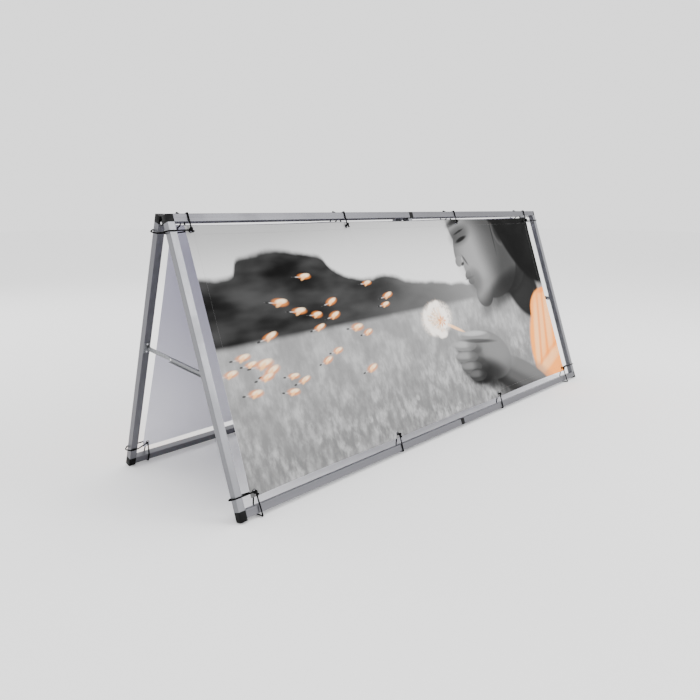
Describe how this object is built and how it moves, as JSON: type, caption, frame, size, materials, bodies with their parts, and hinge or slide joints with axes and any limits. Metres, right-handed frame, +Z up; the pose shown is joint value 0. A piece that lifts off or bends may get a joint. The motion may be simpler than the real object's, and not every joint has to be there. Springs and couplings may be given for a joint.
{
  "type": "a-frame banner board",
  "caption": "Folding A-frame banner board: hinged square-tube frames with printed banners hung on elastic ties and folding side stays.",
  "frame": {"origin": "centre of the footprint, on the ground under the fold line, with the board standing open", "axes": "+X along the board to the plain-capped end, +Y toward the back frame, +Z up"},
  "size_m": [2.7426, 0.8222, 1.06],
  "materials": {
    "anodised_aluminium": "satin anodised",
    "black_moulding": "matt moulded",
    "printed_banner": "matt printed sheet",
    "black_eyelet": "satin black",
    "elastic_cord": "woven sleeve",
    "steel_fixing": "satin",
    "zinc_steel": "zinc plated"
  },
  "bodies": {
    "front_frame": {"front_top_rail_left": "anodised_aluminium", "front_top_rail_right": "anodised_aluminium", "front_bottom_rail_left": "anodised_aluminium", "front_bottom_rail_right": "anodised_aluminium", "front_leg_left": "anodised_aluminium", "front_leg_right": "anodised_aluminium", "front_centre_stub": "anodised_aluminium", "front_stub_cap": "black_moulding", "front_corner_top_left": "black_moulding", "front_corner_top_right": "black_moulding", "front_corner_bottom_left": "black_moulding", "front_corner_bottom_right": "black_moulding", "front_joiner_top": "black_moulding", "front_joiner_bottom": "black_moulding", "front_hinge_arm": "zinc_steel", "front_stay_brackets": "zinc_steel", "front_stay_pins": "steel_fixing", "front_fixings": "steel_fixing", "front_banner": "printed_banner", "front_eyelets": "black_eyelet", "front_ties_left": "elastic_cord", "front_ties_right": "elastic_cord", "front_ties_top": "elastic_cord", "front_ties_bottom": "elastic_cord", "hinge_pins": "steel_fixing", "hinge_caps": "steel_fixing", "hinge_spacer": "steel_fixing"},
    "back_frame": {"back_top_rail_left": "anodised_aluminium", "back_top_rail_right": "anodised_aluminium", "back_bottom_rail_left": "anodised_aluminium", "back_bottom_rail_right": "anodised_aluminium", "back_leg_left": "anodised_aluminium", "back_leg_right": "anodised_aluminium", "back_centre_stub": "anodised_aluminium", "back_stub_cap": "black_moulding", "back_corner_top_left": "black_moulding", "back_corner_top_right": "black_moulding", "back_corner_bottom_left": "black_moulding", "back_corner_bottom_right": "black_moulding", "back_joiner_top": "black_moulding", "back_joiner_bottom": "black_moulding", "back_hinge_arm": "zinc_steel", "back_stay_brackets": "zinc_steel", "back_stay_pins": "steel_fixing", "back_fixings": "steel_fixing", "back_banner": "printed_banner", "back_eyelets": "black_eyelet", "back_ties_left": "elastic_cord", "back_ties_right": "elastic_cord", "back_ties_top": "elastic_cord", "back_ties_bottom": "elastic_cord"},
    "left_front_stay": {"left_front_link": "zinc_steel", "left_knee_rivet_front": "steel_fixing"},
    "left_rear_stay": {"left_rear_link": "zinc_steel", "left_knee_rivet_rear": "steel_fixing"},
    "right_front_stay": {"right_front_link": "zinc_steel", "right_knee_rivet_front": "steel_fixing"},
    "right_rear_stay": {"right_rear_link": "zinc_steel", "right_knee_rivet_rear": "steel_fixing"}
  },
  "joints": [
    {"name": "fold", "type": "hinge", "parent": "front_frame", "child": "back_frame", "pos_m": [0, 0, 1.02094], "axis": [-1, 0, 0], "range_deg": [0, 38.4]},
    {"name": "left_front_stay_pivot", "type": "hinge", "parent": "front_frame", "child": "left_front_stay", "pos_m": [-1.3355, -0.18153, 0.49964], "axis": [1, 0, 0], "range_deg": [0, 64.64]},
    {"name": "left_rear_stay_pivot", "type": "hinge", "parent": "back_frame", "child": "left_rear_stay", "pos_m": [-1.3355, 0.16838, 0.53742], "axis": [-1, 0, 0], "range_deg": [0, 76.96]},
    {"name": "right_front_stay_pivot", "type": "hinge", "parent": "front_frame", "child": "right_front_stay", "pos_m": [1.3355, -0.18153, 0.49964], "axis": [1, 0, 0], "range_deg": [0, 64.64]},
    {"name": "right_rear_stay_pivot", "type": "hinge", "parent": "back_frame", "child": "right_rear_stay", "pos_m": [1.3355, 0.16838, 0.53742], "axis": [-1, 0, 0], "range_deg": [0, 76.96]}
  ],
  "couplings": [
    {"joint": "left_front_stay_pivot", "follows": "fold", "ratio": 1.6833},
    {"joint": "left_rear_stay_pivot", "follows": "fold", "ratio": 2.0042},
    {"joint": "right_front_stay_pivot", "follows": "fold", "ratio": 1.6833},
    {"joint": "right_rear_stay_pivot", "follows": "fold", "ratio": 2.0042}
  ]
}
